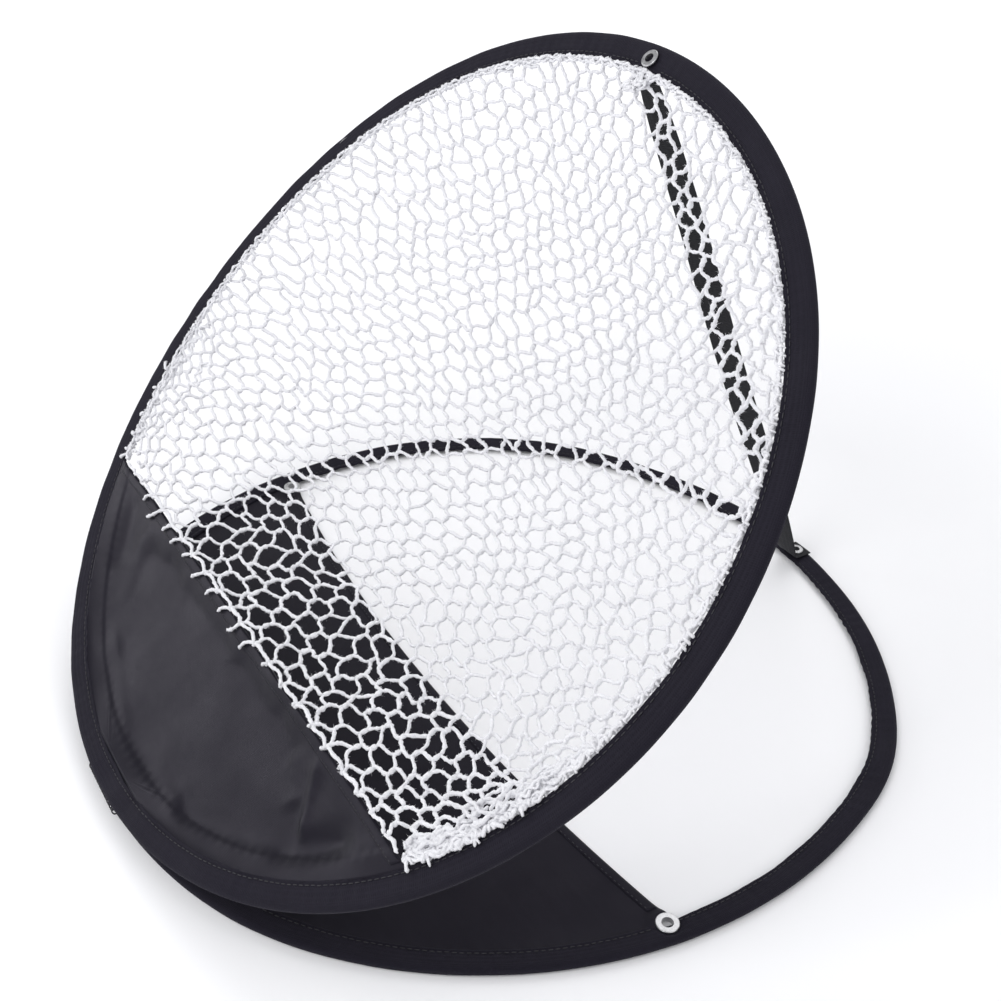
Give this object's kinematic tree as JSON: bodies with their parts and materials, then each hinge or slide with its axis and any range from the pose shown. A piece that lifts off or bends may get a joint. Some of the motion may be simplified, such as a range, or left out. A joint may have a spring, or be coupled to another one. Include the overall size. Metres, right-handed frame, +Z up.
{
  "type": "golf chipping net",
  "caption": "Pop-up golf chipping target: a raised sprung hoop with a knotted net pouch and cloth apron, sewn at the front to a flat ground hoop and held open by a rear strap.",
  "frame": {"origin": "centre of the ground hoop, on the ground", "axes": "+Z up, +Y to the back, away from the player; +X to the player's right when facing the net"},
  "size_m": [0.51, 0.5137, 0.3752],
  "materials": {
    "spring_steel": "satin",
    "eyelet_metal": "nickel plate",
    "net_cord": "spun white cord",
    "thread": "sewing thread",
    "panel_cloth": "satin weave",
    "strap_tape": "woven tape",
    "sleeve_cloth": "matte weave"
  },
  "bodies": {
    "base": {"base_hoop_wire": "spring_steel", "base_hoop_ferrule": "spring_steel", "base_sleeve": "sleeve_cloth", "base_seam_threads": "thread", "base_panel": "panel_cloth", "base_panel_hem": "panel_cloth", "base_panel_threads": "thread", "peg_eyelets": "eyelet_metal", "peg_eyelet_washers": "eyelet_metal", "rear_strap_eyelet": "eyelet_metal", "rear_strap_washer": "eyelet_metal", "hinge_stitches": "thread", "opening_strap": "strap_tape"},
    "target": {"target_hoop_wire": "spring_steel", "target_hoop_ferrule": "spring_steel", "target_sleeve": "sleeve_cloth", "target_seam_threads": "thread", "target_apron": "panel_cloth", "target_apron_hem": "panel_cloth", "target_apron_threads": "thread", "net_pouch": "net_cord", "net_border_cord": "net_cord", "top_strap_eyelet": "eyelet_metal", "top_strap_washer": "eyelet_metal"}
  },
  "joints": [
    {"name": "hoop_fold", "type": "hinge", "parent": "base", "child": "target", "pos_m": [0, -0.2556, 0.007], "axis": [-1, 0, 0], "range_deg": [0, 39], "stiffness_Nm_per_rad": 0.9, "springref_deg": -60.16, "deforming": ["opening_strap", "net_pouch"]}
  ]
}
